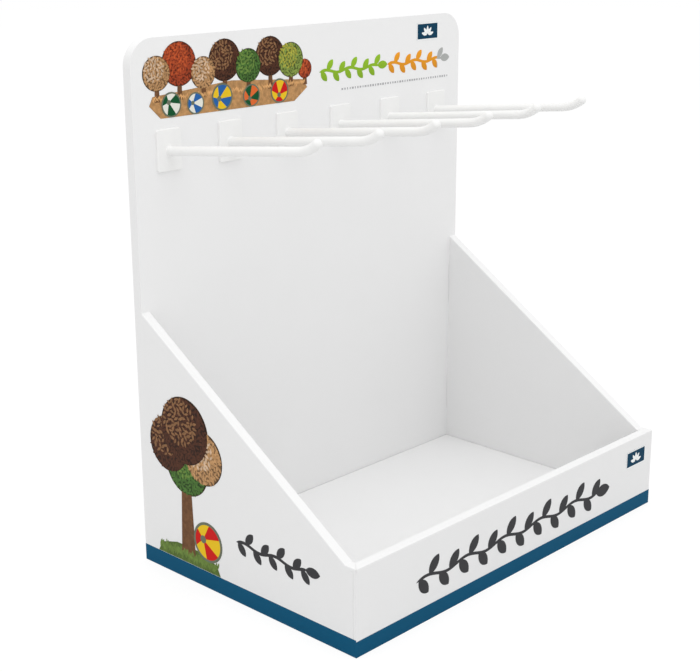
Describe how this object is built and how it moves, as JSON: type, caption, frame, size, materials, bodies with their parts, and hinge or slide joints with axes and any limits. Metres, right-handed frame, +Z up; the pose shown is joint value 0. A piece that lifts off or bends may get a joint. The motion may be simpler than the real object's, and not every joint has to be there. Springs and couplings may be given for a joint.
{
  "type": "cardboard display stand",
  "caption": "White cardboard counter display: a folded tray with a low front lip and sloped sides, and a tall round-cornered back panel that carries a row of plastic hooks.",
  "frame": {"origin": "middle of the footprint, on the ground", "axes": "+Z up, -Y towards the front lip, +X to the right as seen from the front"},
  "size_m": [0.4504, 0.2826, 0.496],
  "materials": {
    "white_board": "matt white liner",
    "hook_plastic": "satin",
    "stripe_blue": "printed film",
    "picture_brown": "printed film",
    "title_green": "printed film",
    "title_orange": "printed film",
    "line_grey": "printed film",
    "badge_blue": "printed film",
    "print_grey": "printed film"
  },
  "bodies": {
    "root": {"tray": "white_board", "back_panel": "white_board", "floor_pad": "white_board", "hook_1": "hook_plastic", "hook_2": "hook_plastic", "hook_3": "hook_plastic", "hook_4": "hook_plastic", "hook_5": "hook_plastic", "hook_6": "hook_plastic", "hook_lock_1": "hook_plastic", "hook_lock_2": "hook_plastic", "hook_lock_3": "hook_plastic", "hook_lock_4": "hook_plastic", "hook_lock_5": "hook_plastic", "hook_lock_6": "hook_plastic", "stripe_label": "stripe_blue", "header_picture_label": "picture_brown", "header_title_left_label": "title_green", "header_title_right_label": "title_orange", "header_line_label": "line_grey", "header_badge_label": "badge_blue", "front_badge_label": "badge_blue", "side_picture_label": "picture_brown", "front_garland_label": "print_grey", "side_garland_label": "print_grey"}
  },
  "joints": []
}
